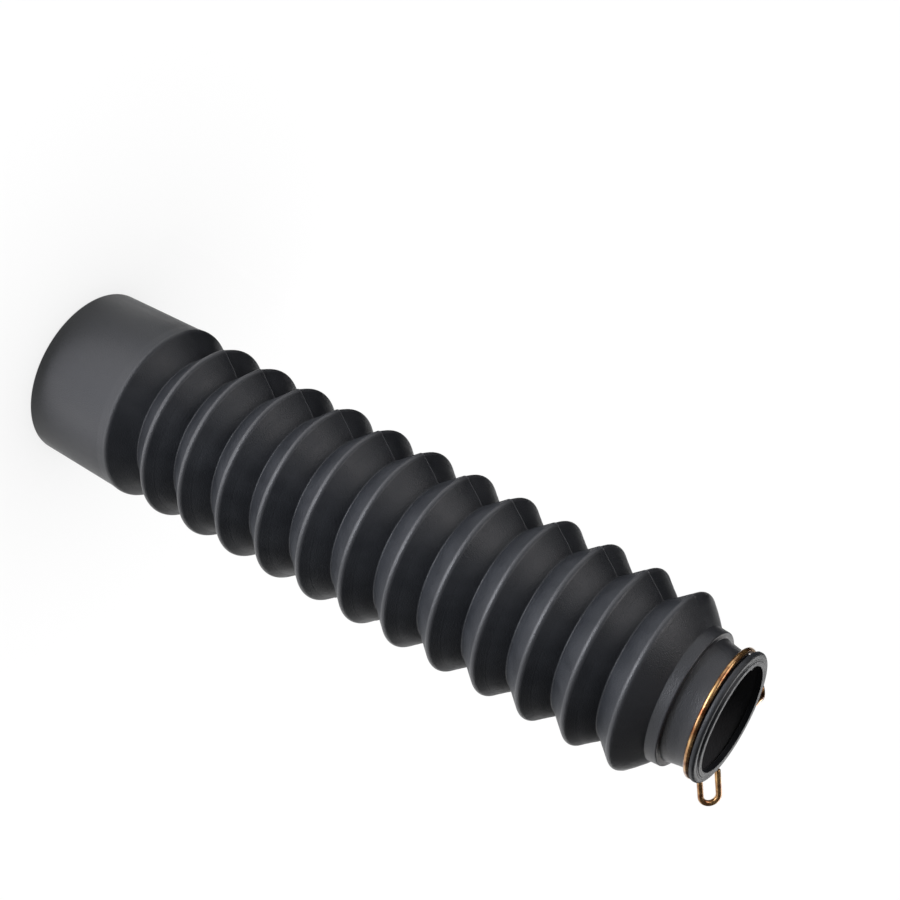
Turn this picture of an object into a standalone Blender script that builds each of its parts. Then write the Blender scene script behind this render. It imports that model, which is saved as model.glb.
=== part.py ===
"""Fork gaiter: a bellows boot for a telescopic motorcycle fork, with its spring-wire clip.

The boot stands on the rim of its large cuff, as it does on a fork: the cuff grips the
lower leg, twelve folds take up the travel, and the small mouth wipes the upper tube.
The Z axis is the axis of the fork tube and z = 0 is the cuff's rim. Sizes are in metres.
"""

import math

import bmesh
import bpy
from mathutils import Vector

MM = 0.001

# Cuff
CUFF_RIM_RADIUS = 32.4 * MM
CUFF_TOP_RADIUS = 33.3 * MM
CUFF_LENGTH = 38.7 * MM
CUFF_WALL = 2.6 * MM
CUFF_EDGE_CHAMFER = 0.5 * MM
SHOULDER_RADIUS = 33.8 * MM
SHOULDER_FILLET = 2.0 * MM

# Bellows
FOLD_COUNT = 12
FOLD_PITCH = 18.0 * MM
FOLD_DRIFT = 1.0 * MM
FIRST_CREST_FROM_SHOULDER = 17.8 * MM
CREST_RADIUS = 33.6 * MM
CREST_RADIUS_LAST = 32.8 * MM
VALLEY_RADIUS = 25.9 * MM
CREST_FILLET = 2.3 * MM
VALLEY_INNER_FILLET = 2.4 * MM
WALL = 2.0 * MM

# Small end
LAST_FLANK_LENGTH = 8.4 * MM
COLLAR_RADIUS = 24.6 * MM
COLLAR_TAPER = 0.25 * MM
COLLAR_LENGTH = 4.4 * MM
COLLAR_FILLET = 1.0 * MM
NECK_RADIUS = 22.2 * MM
NECK_WALL = 0.95 * MM
NECK_LENGTH = 6.25 * MM
MOUTH_RADIUS = 19.2 * MM
MOUTH_LAND = 2.5 * MM
MOUTH_FLAT = 0.6 * MM
BEAD_OVERHANG = 1.1 * MM
BEAD_WIDTH = 2.0 * MM
BEAD_SEAT_FILLET = 0.6 * MM
BEAD_TOP_FILLET = 0.9 * MM
LIP_STEP = 1.0 * MM
LIP_RISE = 0.8 * MM

# Wire clip
WIRE_DIAMETER = 2.1 * MM
RING_RADIUS = 22.4 * MM
SEAT_CLEARANCE = 0.3 * MM
STRAND_GAP = 0.2 * MM
STRAND_LEVEL_BY = 0.7
LOOP_BEND_RADIUS = 3.15 * MM
LOOP_FOOT_RUN = 4.0 * MM
LOOP_KNEE_LIFT = 0.8 * MM
LOOP_KNEE_BEND = 1.6 * MM
LOOP_LEG_BEND = 2.0 * MM
LOOP_LEG_START = 4.3 * MM
LOOP_TIP_CLEARANCE = 0.8 * MM
LOWER_LOOP_ANGLE = -51.7
LOWER_LOOP_REACH = 12.2 * MM
LOWER_LOOP_RISE = 2.0 * MM
LOWER_LOOP_LEAN = 16.4
LOWER_LOOP_TWIST = 43.6
UPPER_LOOP_ANGLE = 19.7
UPPER_LOOP_REACH = 11.4 * MM
UPPER_LOOP_RISE = -0.2 * MM
UPPER_LOOP_LEAN = -4.5
UPPER_LOOP_TWIST = 142.5

# Mesh fineness
SIDES = 48
WIRE_SIDES = 8
RING_STEP = 7.5
LOOP_BEND_STEPS = 6
SHARP_EDGE_ANGLE = 32.0

# Levels along the axis that follow from the sizes above
FIRST_CREST_Z = CUFF_LENGTH + FIRST_CREST_FROM_SHOULDER
LAST_CREST_Z = FIRST_CREST_Z + (FOLD_COUNT - 1) * FOLD_PITCH
COLLAR_Z = LAST_CREST_Z + LAST_FLANK_LENGTH
NECK_Z = COLLAR_Z + COLLAR_LENGTH
WIRE_RADIUS = WIRE_DIAMETER / 2
STRAND_RISE = WIRE_DIAMETER + STRAND_GAP
GROOVE_RADIUS = RING_RADIUS - WIRE_RADIUS - SEAT_CLEARANCE
GROOVE_Z = NECK_Z + NECK_LENGTH
LOWER_STRAND_Z = GROOVE_Z + SEAT_CLEARANCE + WIRE_RADIUS
UPPER_STRAND_Z = LOWER_STRAND_Z + STRAND_RISE
BEAD_RADIUS = RING_RADIUS + BEAD_OVERHANG
BEAD_Z = UPPER_STRAND_Z + WIRE_RADIUS + SEAT_CLEARANCE
BEAD_TOP_Z = BEAD_Z + BEAD_WIDTH
MOUTH_Z = BEAD_TOP_Z + LIP_RISE


def clear_scene():
    """Remove every object that the opened scene already holds."""
    for obj in list(bpy.data.objects):
        bpy.data.objects.remove(obj, do_unlink=True)


def material(name, colour, roughness, metallic):
    """Return a Principled BSDF material with the given base values."""
    mat = bpy.data.materials.new(name)
    mat.use_nodes = True
    shader = mat.node_tree.nodes["Principled BSDF"]
    shader.inputs["Base Color"].default_value = (*colour, 1.0)
    shader.inputs["Roughness"].default_value = roughness
    shader.inputs["Metallic"].default_value = metallic
    return mat


def round_corner(before, corner, after, radius, steps):
    """Return points of the arc that rounds a corner; works for 2-D and 3-D vectors."""
    to_before = (before - corner).normalized()
    to_after = (after - corner).normalized()
    half = to_before.angle(to_after) / 2
    bisector = (to_before + to_after).normalized()
    centre = corner + bisector * (radius / math.sin(half))
    start = corner + to_before * (radius / math.tan(half))
    arm = start - centre
    across = -bisector * arm.length - arm * math.sin(half)
    across.normalize()
    sweep = math.pi - 2 * half
    points = []
    for step in range(steps + 1):
        turn = sweep * step / steps
        points.append(centre + arm * math.cos(turn) + across * (arm.length * math.sin(turn)))
    return points


def rounded_path(corners):
    """Return a path through (point, radius, steps) corners, each rounded if it has a radius."""
    path = []
    for index, (point, radius, steps) in enumerate(corners):
        if radius > 0:
            before = corners[index - 1][0]
            after = corners[index + 1][0]
            path.extend(round_corner(before, point, after, radius, steps))
        else:
            path.append(point)
    return path


def crest_z(fold):
    """Return a crest's level; the soft wall spreads a little unevenly along its length."""
    drift = FOLD_DRIFT * math.sin(2 * math.pi * fold / (FOLD_COUNT - 1))
    return FIRST_CREST_Z + fold * FOLD_PITCH - drift


def crest_radius(fold):
    """Return a crest's outer radius, which shrinks slightly towards the small end."""
    return CREST_RADIUS + (CREST_RADIUS_LAST - CREST_RADIUS) * fold / (FOLD_COUNT - 1)


def sharp_crest_radius(fold):
    """Return where the two flanks of a crest would meet without its fillet."""
    depth = crest_radius(fold) - VALLEY_RADIUS
    half_pitch = FOLD_PITCH / 2
    overshoot = 0.0
    for _ in range(12):
        half_angle = math.atan2(half_pitch, depth + overshoot)
        overshoot = CREST_FILLET * (1 / math.sin(half_angle) - 1)
    return crest_radius(fold) + overshoot


def outer_profile():
    """Return (z, radius) points of the outside, from the cuff's rim to the lip of the mouth."""
    corners = [
        (Vector((0.0, CUFF_RIM_RADIUS - CUFF_EDGE_CHAMFER)), 0.0, 0),
        (Vector((CUFF_EDGE_CHAMFER, CUFF_RIM_RADIUS)), 0.0, 0),
        (Vector((CUFF_LENGTH - 2 * SHOULDER_FILLET, CUFF_TOP_RADIUS)), 0.0, 0),
        (Vector((CUFF_LENGTH, SHOULDER_RADIUS)), SHOULDER_FILLET, 3),
        (Vector(((CUFF_LENGTH + crest_z(0)) / 2, VALLEY_RADIUS)), 0.0, 0),
    ]
    for fold in range(FOLD_COUNT):
        corners.append((Vector((crest_z(fold), sharp_crest_radius(fold))), CREST_FILLET, 2))
        if fold < FOLD_COUNT - 1:
            valley_z = (crest_z(fold) + crest_z(fold + 1)) / 2
            corners.append((Vector((valley_z, VALLEY_RADIUS)), 0.0, 0))
    corners += [
        (Vector((COLLAR_Z, COLLAR_RADIUS)), 0.0, 0),
        (Vector((NECK_Z, COLLAR_RADIUS - COLLAR_TAPER)), COLLAR_FILLET, 2),
        (Vector((NECK_Z, NECK_RADIUS)), 0.0, 0),
        (Vector((GROOVE_Z, GROOVE_RADIUS)), 0.0, 0),
        (Vector((BEAD_Z, GROOVE_RADIUS)), 0.0, 0),
        (Vector((BEAD_Z, BEAD_RADIUS)), BEAD_SEAT_FILLET, 2),
        (Vector((BEAD_TOP_Z, BEAD_RADIUS)), BEAD_TOP_FILLET, 3),
        (Vector((BEAD_TOP_Z, BEAD_RADIUS - LIP_STEP)), 0.0, 0),
        (Vector((MOUTH_Z, MOUTH_RADIUS + MOUTH_FLAT)), 0.0, 0),
        (Vector((MOUTH_Z, MOUTH_RADIUS)), 0.0, 0),
    ]
    return rounded_path(corners)


def inner_profile():
    """Return (z, radius) points of the bore, from the mouth back down to the cuff's rim."""
    slope = (sharp_crest_radius(0) - VALLEY_RADIUS) / (FOLD_PITCH / 2)
    radial_wall = WALL * math.hypot(1.0, slope)
    inner_valley = VALLEY_RADIUS - radial_wall
    neck_bore = GROOVE_RADIUS - NECK_WALL
    collar_bore = COLLAR_RADIUS - COLLAR_TAPER - WALL
    corners = [
        (Vector((MOUTH_Z - MOUTH_LAND, MOUTH_RADIUS)), 0.0, 0),
        (Vector((MOUTH_Z - MOUTH_LAND, neck_bore)), 0.0, 0),
        (Vector((NECK_Z - WALL, neck_bore)), 0.0, 0),
        (Vector((COLLAR_Z - WALL / 2, collar_bore)), 0.0, 0),
    ]
    for fold in reversed(range(FOLD_COUNT)):
        corners.append((Vector((crest_z(fold), sharp_crest_radius(fold) - radial_wall)), 0.0, 0))
        below_z = crest_z(fold - 1) if fold else CUFF_LENGTH
        valley_z = (crest_z(fold) + below_z) / 2
        corners.append((Vector((valley_z, inner_valley)), VALLEY_INNER_FILLET, 1))
    rim_bore = CUFF_RIM_RADIUS - CUFF_WALL
    corners += [
        (Vector((CUFF_LENGTH - WALL, CUFF_TOP_RADIUS - CUFF_WALL)), 0.0, 0),
        (Vector((CUFF_EDGE_CHAMFER, rim_bore)), 0.0, 0),
        (Vector((0.0, rim_bore + CUFF_EDGE_CHAMFER)), 0.0, 0),
    ]
    return rounded_path(corners)


def turned_body(name, profile, mat):
    """Spin a closed (z, radius) profile round the Z axis into one hollow moulding."""
    mesh = bpy.data.meshes.new(name)
    form = bmesh.new()
    verts = [form.verts.new((point.y, 0.0, point.x)) for point in profile]
    edges = [form.edges.new((verts[i], verts[(i + 1) % len(verts)])) for i in range(len(verts))]
    bmesh.ops.spin(
        form,
        geom=verts + edges,
        axis=(0.0, 0.0, 1.0),
        cent=(0.0, 0.0, 0.0),
        angle=2 * math.pi,
        steps=SIDES,
        use_merge=True,
    )
    bmesh.ops.remove_doubles(form, verts=form.verts, dist=0.001 * MM)
    bmesh.ops.recalc_face_normals(form, faces=form.faces)
    form.to_mesh(mesh)
    form.free()
    obj = bpy.data.objects.new(name, mesh)
    bpy.context.scene.collection.objects.link(obj)
    mesh.materials.append(mat)
    mesh.shade_smooth()
    mesh.set_sharp_from_angle(angle=math.radians(SHARP_EDGE_ANGLE))
    return obj


def radial(angle):
    """Return the outward unit vector at an angle from +Y, turning towards -X."""
    return Vector((-math.sin(angle), math.cos(angle), 0.0))


def tangent(angle):
    """Return the unit vector along the ring, in the direction of growing angle."""
    return Vector((-math.cos(angle), -math.sin(angle), 0.0))


def strand_z(turned, overlap, whole):
    """Return the wire's level after an angle turned round the neck.

    The first strand stays low as far as the last one overlaps it, then the wire climbs.
    """
    climb = (turned - overlap) / (STRAND_LEVEL_BY * whole - overlap)
    return LOWER_STRAND_Z + STRAND_RISE * math.sin(math.pi / 2 * min(1.0, max(0.0, climb)))


def ring_points(start, end):
    """Return the wire's centre line round the neck, one turn and the overlap behind."""
    whole = end - start
    overlap = whole - 2 * math.pi + LOOP_FOOT_RUN / RING_RADIUS
    count = round(math.degrees(whole) / RING_STEP)
    points = []
    for index in range(count + 1):
        turned = whole * index / count
        point = radial(start + turned) * RING_RADIUS
        point.z = strand_z(turned, overlap, whole)
        points.append(point)
    return points


def half_circle(centre, start_arm, top_arm):
    """Return the points strictly inside a half circle through its two end arms and top arm."""
    points = []
    for step in range(1, LOOP_BEND_STEPS):
        turn = math.pi * step / LOOP_BEND_STEPS
        points.append(centre + start_arm * math.cos(turn) + top_arm * math.sin(turn))
    return points


def finger_loop(angle, lean, twist, length, rise, foot, heading):
    """Return the centre line of one finger loop, from the ring's end to the wire's tip.

    length is from the ring to the middle of the loop's bend and rise is the loop's level
    above its strand. foot is the ring's last point and heading is +1 where the wire arrives
    there with growing angle, -1 where it arrives the other way.
    """
    outward = radial(angle)
    up = Vector((0.0, 0.0, 1.0))
    reach = outward * math.cos(lean) + up * math.sin(lean)
    across = tangent(angle) * math.cos(twist)
    across += (up * math.cos(lean) - outward * math.sin(lean)) * math.sin(twist)
    base = outward * RING_RADIUS
    base.z = foot.z + rise
    leg = across * LOOP_BEND_RADIUS
    bend_middle = base + reach * length
    tip = base + leg + reach * (BEAD_OVERHANG + WIRE_RADIUS + LOOP_TIP_CLEARANCE)
    knee = foot + tangent(angle) * (heading * LOOP_FOOT_RUN) + outward * LOOP_KNEE_LIFT
    corners = [
        (foot, 0.0, 0),
        (knee, LOOP_KNEE_BEND, 3),
        (base - leg + reach * LOOP_LEG_START, LOOP_LEG_BEND, 2),
        (bend_middle - leg, 0.0, 0),
    ]
    path = rounded_path(corners)[1:]
    path += half_circle(bend_middle, -leg, reach * LOOP_BEND_RADIUS)
    return path + [bend_middle + leg, tip]


def wire_tube(name, path, mat):
    """Sweep the round wire along a centre line and close both of its cut ends."""
    curve = bpy.data.curves.new(name, "CURVE")
    curve.dimensions = "3D"
    curve.bevel_depth = WIRE_RADIUS
    curve.bevel_resolution = (WIRE_SIDES - 4) // 2
    curve.use_fill_caps = True
    curve.twist_mode = "MINIMUM"
    spline = curve.splines.new("POLY")
    spline.points.add(len(path) - 1)
    for spline_point, point in zip(spline.points, path):
        spline_point.co = (*point, 1.0)
    spline.use_smooth = True
    curve.materials.append(mat)
    obj = bpy.data.objects.new(name, curve)
    bpy.context.scene.collection.objects.link(obj)
    return obj


def clip_path():
    """Return the whole centre line of the clip, from one cut end to the other."""
    start = math.radians(LOWER_LOOP_ANGLE)
    end = math.radians(UPPER_LOOP_ANGLE) + 2 * math.pi
    foot_turn = LOOP_FOOT_RUN / RING_RADIUS
    ring = ring_points(start + foot_turn, end - foot_turn)
    lower = finger_loop(
        start,
        math.radians(LOWER_LOOP_LEAN),
        math.radians(LOWER_LOOP_TWIST),
        LOWER_LOOP_REACH,
        LOWER_LOOP_RISE,
        ring[0],
        -1,
    )
    upper = finger_loop(
        end,
        math.radians(UPPER_LOOP_LEAN),
        math.radians(UPPER_LOOP_TWIST),
        UPPER_LOOP_REACH,
        UPPER_LOOP_RISE,
        ring[-1],
        1,
    )
    return lower[::-1] + ring + upper


def main():
    """Build the rubber boot and its wire clip."""
    clear_scene()
    rubber = material("black_rubber", (0.012, 0.012, 0.013), 0.55, 0.0)
    wire = material("passivated_wire", (0.62, 0.36, 0.16), 0.28, 1.0)
    turned_body("gaiter_bellows", outer_profile() + inner_profile(), rubber)
    wire_tube("wire_clip", clip_path(), wire)


main()
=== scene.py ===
"""Looks of a fork gaiter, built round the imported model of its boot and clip.

The boot is one hollow moulding in satin black rubber and the clip is bent from passivated spring
wire. The boot stands on its cuff's rim and its axis is +Z. Sizes of the boot and the clip are in
millimetres until their meshes are made. Meshes and studio are in metres, as the frame is.
"""

import logging
import math
from dataclasses import dataclass, field
from enum import Enum

import bpy
from mathutils import Matrix, Vector


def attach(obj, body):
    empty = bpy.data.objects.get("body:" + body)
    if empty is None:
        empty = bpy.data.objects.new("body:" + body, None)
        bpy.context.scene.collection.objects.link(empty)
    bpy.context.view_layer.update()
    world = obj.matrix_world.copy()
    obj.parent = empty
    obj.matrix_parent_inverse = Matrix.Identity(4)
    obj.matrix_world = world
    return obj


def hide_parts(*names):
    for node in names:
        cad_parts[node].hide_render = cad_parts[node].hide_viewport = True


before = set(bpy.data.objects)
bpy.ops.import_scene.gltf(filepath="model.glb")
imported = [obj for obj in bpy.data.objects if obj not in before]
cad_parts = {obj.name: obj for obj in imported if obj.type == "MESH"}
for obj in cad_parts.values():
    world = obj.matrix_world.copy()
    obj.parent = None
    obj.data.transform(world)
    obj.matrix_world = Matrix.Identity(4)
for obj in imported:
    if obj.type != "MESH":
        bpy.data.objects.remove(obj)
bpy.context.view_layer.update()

MM = 0.001
BODY = "root"

# Places of the Mix node's sockets: its share, then both inputs and the result for each kind.
MIX_SHARE = 0
COLOUR_FIRST, COLOUR_SECOND, COLOUR_RESULT = 6, 7, 2
NUMBER_FIRST, NUMBER_SECOND, NUMBER_RESULT = 2, 3, 0

log = logging.getLogger("fork_gaiter")


class Slot(Enum):
    """The record's material slots."""

    RUBBER = "rubber"
    CLIP_WIRE = "clip_wire"


class Mark(Enum):
    """Values stored on the boot's vertices, which its finish reads."""

    # Where the skin is worn smoother and painted lighter as a highlight.
    RUB_AND_HIGHLIGHT = "crest_rub_and_highlight"
    # Where the bore is painted lighter, as painted light.
    BORE = "bore"


def linear(code: str) -> tuple[float, float, float, float]:
    """Turn an sRGB hex colour into linear RGBA.

    Args:
        code: Six hex digits after a #.

    Returns:
        The linear colour with alpha 1.
    """
    channels = [int(code[place : place + 2], 16) / 255 for place in (1, 3, 5)]
    light = [c / 12.92 if c <= 0.04045 else ((c + 0.055) / 1.055) ** 2.4 for c in channels]
    return (light[0], light[1], light[2], 1.0)


def per_mm(size: float) -> float:
    """Return the texture scale, in cycles per metre, of a pattern that repeats every size mm."""
    return 1.0 / (size * MM)


def in_metres(place: Vector | tuple[float, float, float]) -> tuple[float, float, float]:
    """Return a place given in mm as metres."""
    return tuple(value * MM for value in place)


def add_node(
    tree: bpy.types.NodeTree,
    kind: str,
    settings: dict[str, object] | None = None,
    inputs: dict[str | int, object] | None = None,
) -> bpy.types.Node:
    """Add one shader node.

    Args:
        tree: The node tree that it goes into.
        kind: Blender's type name of the node.
        settings: Attributes of the node to set.
        inputs: A value for each input, or an output socket to link to it.

    Returns:
        The new node.
    """
    node = tree.nodes.new(kind)
    for name, value in (settings or {}).items():
        setattr(node, name, value)
    for name, value in (inputs or {}).items():
        if isinstance(value, bpy.types.NodeSocket):
            tree.links.new(value, node.inputs[name])
        else:
            node.inputs[name].default_value = value
    return node


def new_material(name: str) -> tuple[bpy.types.Material, bpy.types.NodeTree]:
    """Make a material whose node tree is still empty.

    Args:
        name: Its name.

    Returns:
        The material and its node tree.
    """
    mat = bpy.data.materials.new(name)
    mat.use_nodes = True
    mat.node_tree.nodes.clear()
    return mat, mat.node_tree


def mesh_object(
    name: str,
    verts: list[tuple[float, float, float]],
    faces: list[tuple[int, ...]],
    finish: bpy.types.Material,
) -> bpy.types.Object:
    """Make an object from points and faces and put it into the scene.

    Args:
        name: Name of the object and its mesh.
        verts: The points, in metres.
        faces: The faces, as places in the list of points.
        finish: Its material.

    Returns:
        The new object.
    """
    mesh = bpy.data.meshes.new(name)
    mesh.from_pydata(verts, [], faces)
    mesh.materials.append(finish)
    obj = bpy.data.objects.new(name, mesh)
    bpy.context.scene.collection.objects.link(obj)
    return obj


@dataclass(frozen=True)
class MouldedRubber:
    """Natural rubber with carbon black, press moulded in a lightly blasted steel mould.

    To the eye: a near-black body with a broad soft gloss, a fine even grain from the blasted
    mould, a faint cloudy bloom, and crests, shoulder, collar and neck that handling has worn
    smoother and that are painted lighter, partly as wear and partly as a painted highlight.
    The bore is painted greyer, as painted light that stands in for light reaching into it. The
    real grain is about 0.1 mm wide, which is too fine to show, so it is drawn four times as wide.

    Attributes:
        body: Colour of the plain skin.
        cloud: Colour of the bloom.
        rubbed_and_highlight: Colour of worn skin, partly wear and partly painted highlight.
        inside: Colour of the bore, lighter as painted light that reaches into it.
        roughness: Mean roughness of the plain skin.
        roughness_change: How far the bloom takes the roughness down and up.
        rubbed_roughness: Roughness of worn skin.
        ior: Refractive index.
        cloud_width: Width of a cloud, in mm.
        cloud_stretch: Clouds per length along the axis, for each one across it.
        cloud_detail: Finer layers in the clouds.
        cloud_range: Noise at which the bloom starts and is full.
        gloss_range: Noise at which the roughness is lowest and highest.
        ripple_width: Width of the skin's slow waves, in mm.
        ripple_detail: Finer layers in the waves.
        ripple_height: Height of the waves, in mm.
        grain_width: Width of the grain, in mm.
        grain_detail: Finer layers in the grain.
        grain_height: Height of the grain, in mm.
    """

    body: str = "#232529"
    cloud: str = "#2a2c30"
    # Partly wear and partly a painted highlight: crests, shoulder, collar and neck are painted
    # lighter.
    rubbed_and_highlight: str = "#37383b"
    # Painted light: the bore is painted lighter to stand for light that reaches into it.
    inside: str = "#464648"
    roughness: float = 0.45
    roughness_change: float = 0.07
    rubbed_roughness: float = 0.33
    ior: float = 1.45
    cloud_width: float = 9.0
    cloud_stretch: float = 0.35
    cloud_detail: float = 4.0
    cloud_range: tuple[float, float] = (0.35, 0.7)
    gloss_range: tuple[float, float] = (0.3, 0.7)
    ripple_width: float = 5.0
    ripple_detail: float = 1.0
    ripple_height: float = 0.02
    grain_width: float = 0.42
    grain_detail: float = 2.0
    grain_height: float = 0.13

    def build(self) -> bpy.types.Material:
        """Make the material.

        Returns:
            The material, which reads the marks on the boot's vertices.
        """
        mat, tree = new_material("press_moulded_rubber")
        place = add_node(tree, "ShaderNodeTexCoord").outputs["Object"]
        drawn = add_node(
            tree,
            "ShaderNodeMapping",
            inputs={"Vector": place, "Scale": (1.0, 1.0, self.cloud_stretch)},
        ).outputs["Vector"]
        scale = per_mm(self.cloud_width)
        cloud = add_node(
            tree,
            "ShaderNodeTexNoise",
            inputs={"Vector": drawn, "Scale": scale, "Detail": self.cloud_detail},
        ).outputs["Fac"]
        rub_and_highlight, bore = [
            add_node(tree, "ShaderNodeAttribute", {"attribute_name": mark.value}).outputs["Fac"]
            for mark in (Mark.RUB_AND_HIGHLIGHT, Mark.BORE)
        ]
        shader = add_node(
            tree,
            "ShaderNodeBsdfPrincipled",
            inputs={
                "Base Color": self.colour(tree, cloud, rub_and_highlight, bore),
                "Roughness": self.gloss(tree, cloud, rub_and_highlight),
                "Normal": self.relief(tree, place),
                "IOR": self.ior,
            },
        ).outputs["BSDF"]
        add_node(tree, "ShaderNodeOutputMaterial", inputs={"Surface": shader})
        return mat

    def colour(
        self,
        tree: bpy.types.NodeTree,
        cloud: bpy.types.NodeSocket,
        rub_and_highlight: bpy.types.NodeSocket,
        bore: bpy.types.NodeSocket,
    ) -> bpy.types.NodeSocket:
        """Lay bloom, worn tone with painted highlight, and bore's painted light over body colour.

        Args:
            tree: The material's node tree.
            cloud: The clouds' noise.
            rub_and_highlight: How far the skin is worn and painted lighter as a highlight.
            bore: 1 in the bore, which is painted lighter as painted light.

        Returns:
            The skin's colour.
        """
        low, high = self.cloud_range
        bloom = add_node(
            tree, "ShaderNodeMapRange", inputs={"Value": cloud, "From Min": low, "From Max": high}
        ).outputs["Result"]
        mixed = linear(self.body)
        # The worn tone is partly wear and partly a painted highlight; the bore's grey is painted
        # light.
        for share, tone in ((bloom, self.cloud), (rub_and_highlight, self.rubbed_and_highlight), (bore, self.inside)):
            mixed = add_node(
                tree,
                "ShaderNodeMix",
                {"data_type": "RGBA"},
                {MIX_SHARE: share, COLOUR_FIRST: mixed, COLOUR_SECOND: linear(tone)},
            ).outputs[COLOUR_RESULT]
        return mixed

    def gloss(
        self, tree: bpy.types.NodeTree, cloud: bpy.types.NodeSocket, rub_and_highlight: bpy.types.NodeSocket
    ) -> bpy.types.NodeSocket:
        """Vary the roughness with the clouds and smooth the worn skin.

        Args:
            tree: The material's node tree.
            cloud: The clouds' noise.
            rub_and_highlight: How far the skin is worn and painted lighter as a highlight.

        Returns:
            The skin's roughness.
        """
        low, high = self.gloss_range
        skin = add_node(
            tree,
            "ShaderNodeMapRange",
            inputs={
                "Value": cloud,
                "From Min": low,
                "From Max": high,
                "To Min": self.roughness - self.roughness_change,
                "To Max": self.roughness + self.roughness_change,
            },
        ).outputs["Result"]
        return add_node(
            tree,
            "ShaderNodeMix",
            {"data_type": "FLOAT"},
            {MIX_SHARE: rub_and_highlight, NUMBER_FIRST: skin, NUMBER_SECOND: self.rubbed_roughness},
        ).outputs[NUMBER_RESULT]

    def relief(
        self, tree: bpy.types.NodeTree, place: bpy.types.NodeSocket
    ) -> bpy.types.NodeSocket:
        """Lay the grain over the skin's slow waves.

        Args:
            tree: The material's node tree.
            place: The place on the boot.

        Returns:
            The skin's normal.
        """
        normal = None
        for width, detail, height in (
            (self.ripple_width, self.ripple_detail, self.ripple_height),
            (self.grain_width, self.grain_detail, self.grain_height),
        ):
            noise = add_node(
                tree,
                "ShaderNodeTexNoise",
                inputs={"Vector": place, "Scale": per_mm(width), "Detail": detail},
            ).outputs["Fac"]
            inputs = {"Strength": 1.0, "Distance": height * MM, "Height": noise}
            if normal is not None:
                inputs["Normal"] = normal
            normal = add_node(tree, "ShaderNodeBump", inputs=inputs).outputs["Normal"]
        return normal


@dataclass(frozen=True)
class PassivatedWire:
    """Hard-drawn spring steel wire, zinc plated and yellow passivated, bent by machine.

    To the eye: a warm copper-gold metal, bright along its ridge, with brown patches where the
    passivation is thicker, a finely mottled gloss, and the thin sheen of its sealing lacquer.
    The real mottling is finer than shows, so it is drawn at 0.25 mm.

    Attributes:
        bright: Colour where the passivation is thin.
        brown: Colour where it is thick.
        metal_share: Metallic value.
        roughness: Mean roughness.
        roughness_change: How far the mottling takes the roughness down and up.
        lacquer: Weight of the lacquer.
        lacquer_roughness: Roughness of the lacquer.
        patch_width: Width of a brown patch, in mm.
        patch_detail: Finer layers in the patches.
        patch_range: Noise at which a patch starts and is full.
        mottle_width: Width of the mottling, in mm.
        mottle_detail: Finer layers in the mottling.
        mottle_range: Noise at which the roughness is lowest and highest.
    """

    bright: str = "#e6b87c"
    brown: str = "#844c20"
    metal_share: float = 0.9
    roughness: float = 0.25
    roughness_change: float = 0.05
    lacquer: float = 0.7
    lacquer_roughness: float = 0.16
    patch_width: float = 4.0
    patch_detail: float = 3.0
    patch_range: tuple[float, float] = (0.33, 0.62)
    mottle_width: float = 0.25
    mottle_detail: float = 1.0
    mottle_range: tuple[float, float] = (0.3, 0.7)

    def build(self) -> bpy.types.Material:
        """Make the material.

        Returns:
            The material.
        """
        mat, tree = new_material("yellow_passivated_wire")
        place = add_node(tree, "ShaderNodeTexCoord").outputs["Object"]
        patch, mottle = [
            add_node(
                tree,
                "ShaderNodeTexNoise",
                inputs={"Vector": place, "Scale": per_mm(width), "Detail": detail},
            ).outputs["Fac"]
            for width, detail in (
                (self.patch_width, self.patch_detail),
                (self.mottle_width, self.mottle_detail),
            )
        ]
        low, high = self.patch_range
        share = add_node(
            tree, "ShaderNodeMapRange", inputs={"Value": patch, "From Min": low, "From Max": high}
        ).outputs["Result"]
        tones = {COLOUR_FIRST: linear(self.bright), COLOUR_SECOND: linear(self.brown)}
        colour = add_node(
            tree, "ShaderNodeMix", {"data_type": "RGBA"}, {MIX_SHARE: share, **tones}
        ).outputs[COLOUR_RESULT]
        low, high = self.mottle_range
        roughness = add_node(
            tree,
            "ShaderNodeMapRange",
            inputs={
                "Value": mottle,
                "From Min": low,
                "From Max": high,
                "To Min": self.roughness - self.roughness_change,
                "To Max": self.roughness + self.roughness_change,
            },
        ).outputs["Result"]
        shader = add_node(
            tree,
            "ShaderNodeBsdfPrincipled",
            inputs={
                "Base Color": colour,
                "Metallic": self.metal_share,
                "Roughness": roughness,
                "Coat Weight": self.lacquer,
                "Coat Roughness": self.lacquer_roughness,
            },
        ).outputs["BSDF"]
        add_node(tree, "ShaderNodeOutputMaterial", inputs={"Surface": shader})
        return mat


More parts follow.
